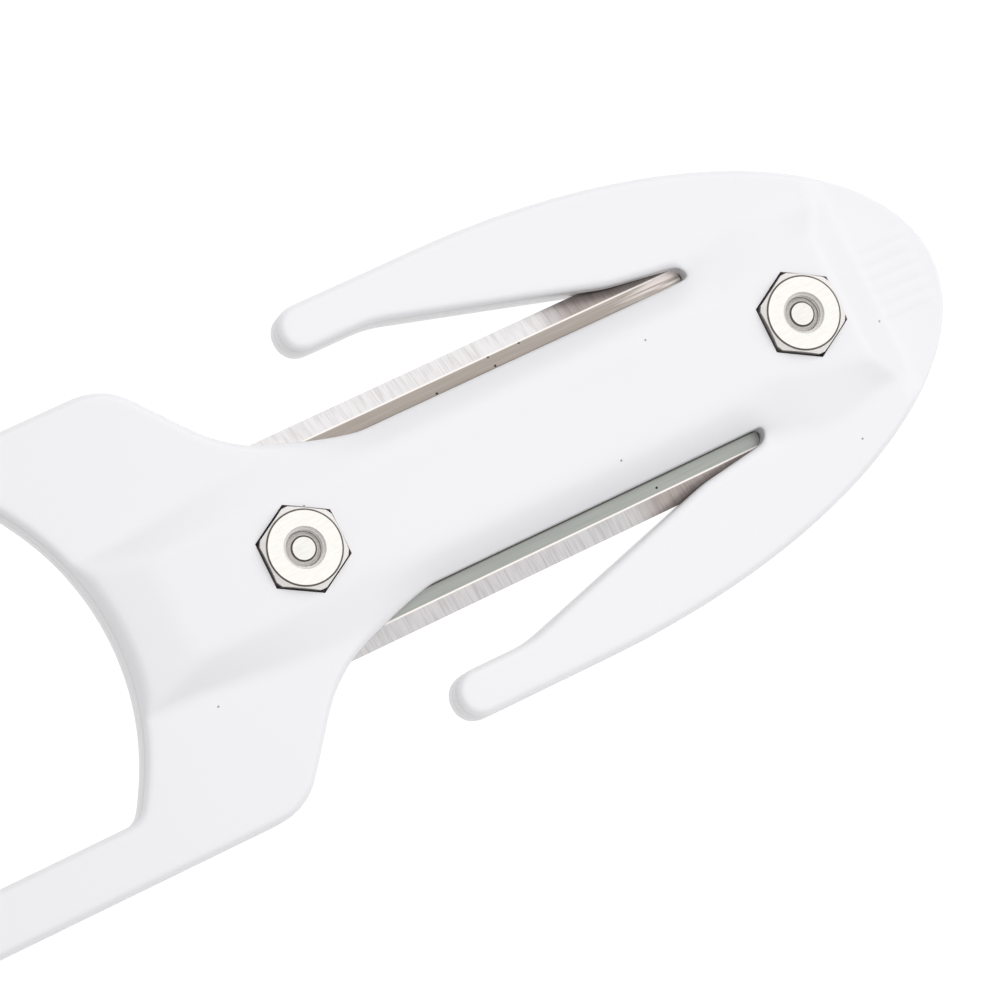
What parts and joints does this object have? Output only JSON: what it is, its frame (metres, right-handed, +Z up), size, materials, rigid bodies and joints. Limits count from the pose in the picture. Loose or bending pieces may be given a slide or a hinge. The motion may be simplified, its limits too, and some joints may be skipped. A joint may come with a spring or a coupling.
{
  "type": "line cutter",
  "caption": "Slim safety line cutter with a finger loop, two backward hooks and a double-edged blade clamped between two plastic half shells.",
  "frame": {"origin": "under the middle of the tool's length and width, on the plane that it lies on", "axes": "+X from the finger loop to the nose, +Y across the tool, +Z up towards the nuts"},
  "size_m": [0.122, 0.0318, 0.0065],
  "materials": {
    "shell": "glossy moulded white",
    "blade": "ground across the edges",
    "fastener": "bright stainless"
  },
  "bodies": {
    "root": {"nut_side_shell": "shell", "screw_side_shell": "shell", "blade": "blade", "screw_front": "fastener", "screw_rear": "fastener", "nut_front": "fastener", "nut_rear": "fastener"}
  },
  "joints": []
}
